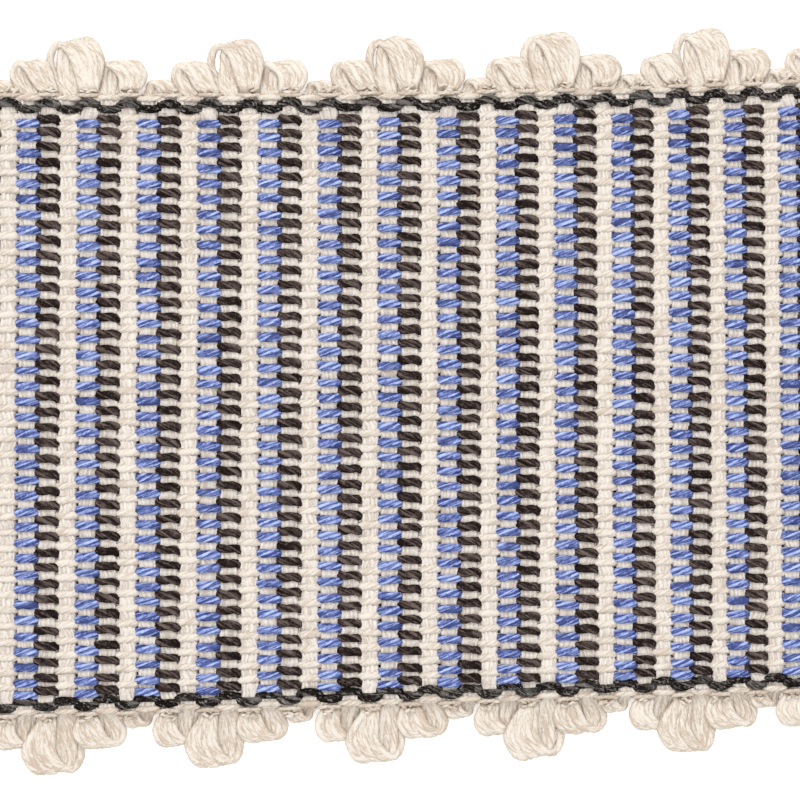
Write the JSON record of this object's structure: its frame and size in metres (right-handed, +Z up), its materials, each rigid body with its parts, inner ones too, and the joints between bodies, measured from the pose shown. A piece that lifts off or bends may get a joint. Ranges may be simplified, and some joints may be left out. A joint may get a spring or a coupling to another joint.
{
  "type": "tape trim",
  "caption": "Flat cut length of woven ribbed tape trim with striped floats, a dark yarn line inside each edge and a looped picot edging along both sides.",
  "frame": {"origin": "on the back of the middle rib, half way across the band, on the surface that the tape lies on", "axes": "+X along the tape, +Y across it towards the far picots, +Z up out of its face"},
  "size_m": [0.1071, 0.083, 0.0024],
  "materials": {
    "woven_stripe": "matte ribbed weave of cream weft with periwinkle blue, brown-black and cream floats",
    "dark_yarn": "matte charcoal spun yarn with a little fuzz",
    "picot_yarn": "soft cream twisted yarn, slightly lustrous"
  },
  "bodies": {
    "root": {"woven_tape": "woven_stripe", "dark_edge_far": "dark_yarn", "dark_edge_near": "dark_yarn", "picot_edge_far": "picot_yarn", "picot_edge_near": "picot_yarn"}
  },
  "joints": []
}
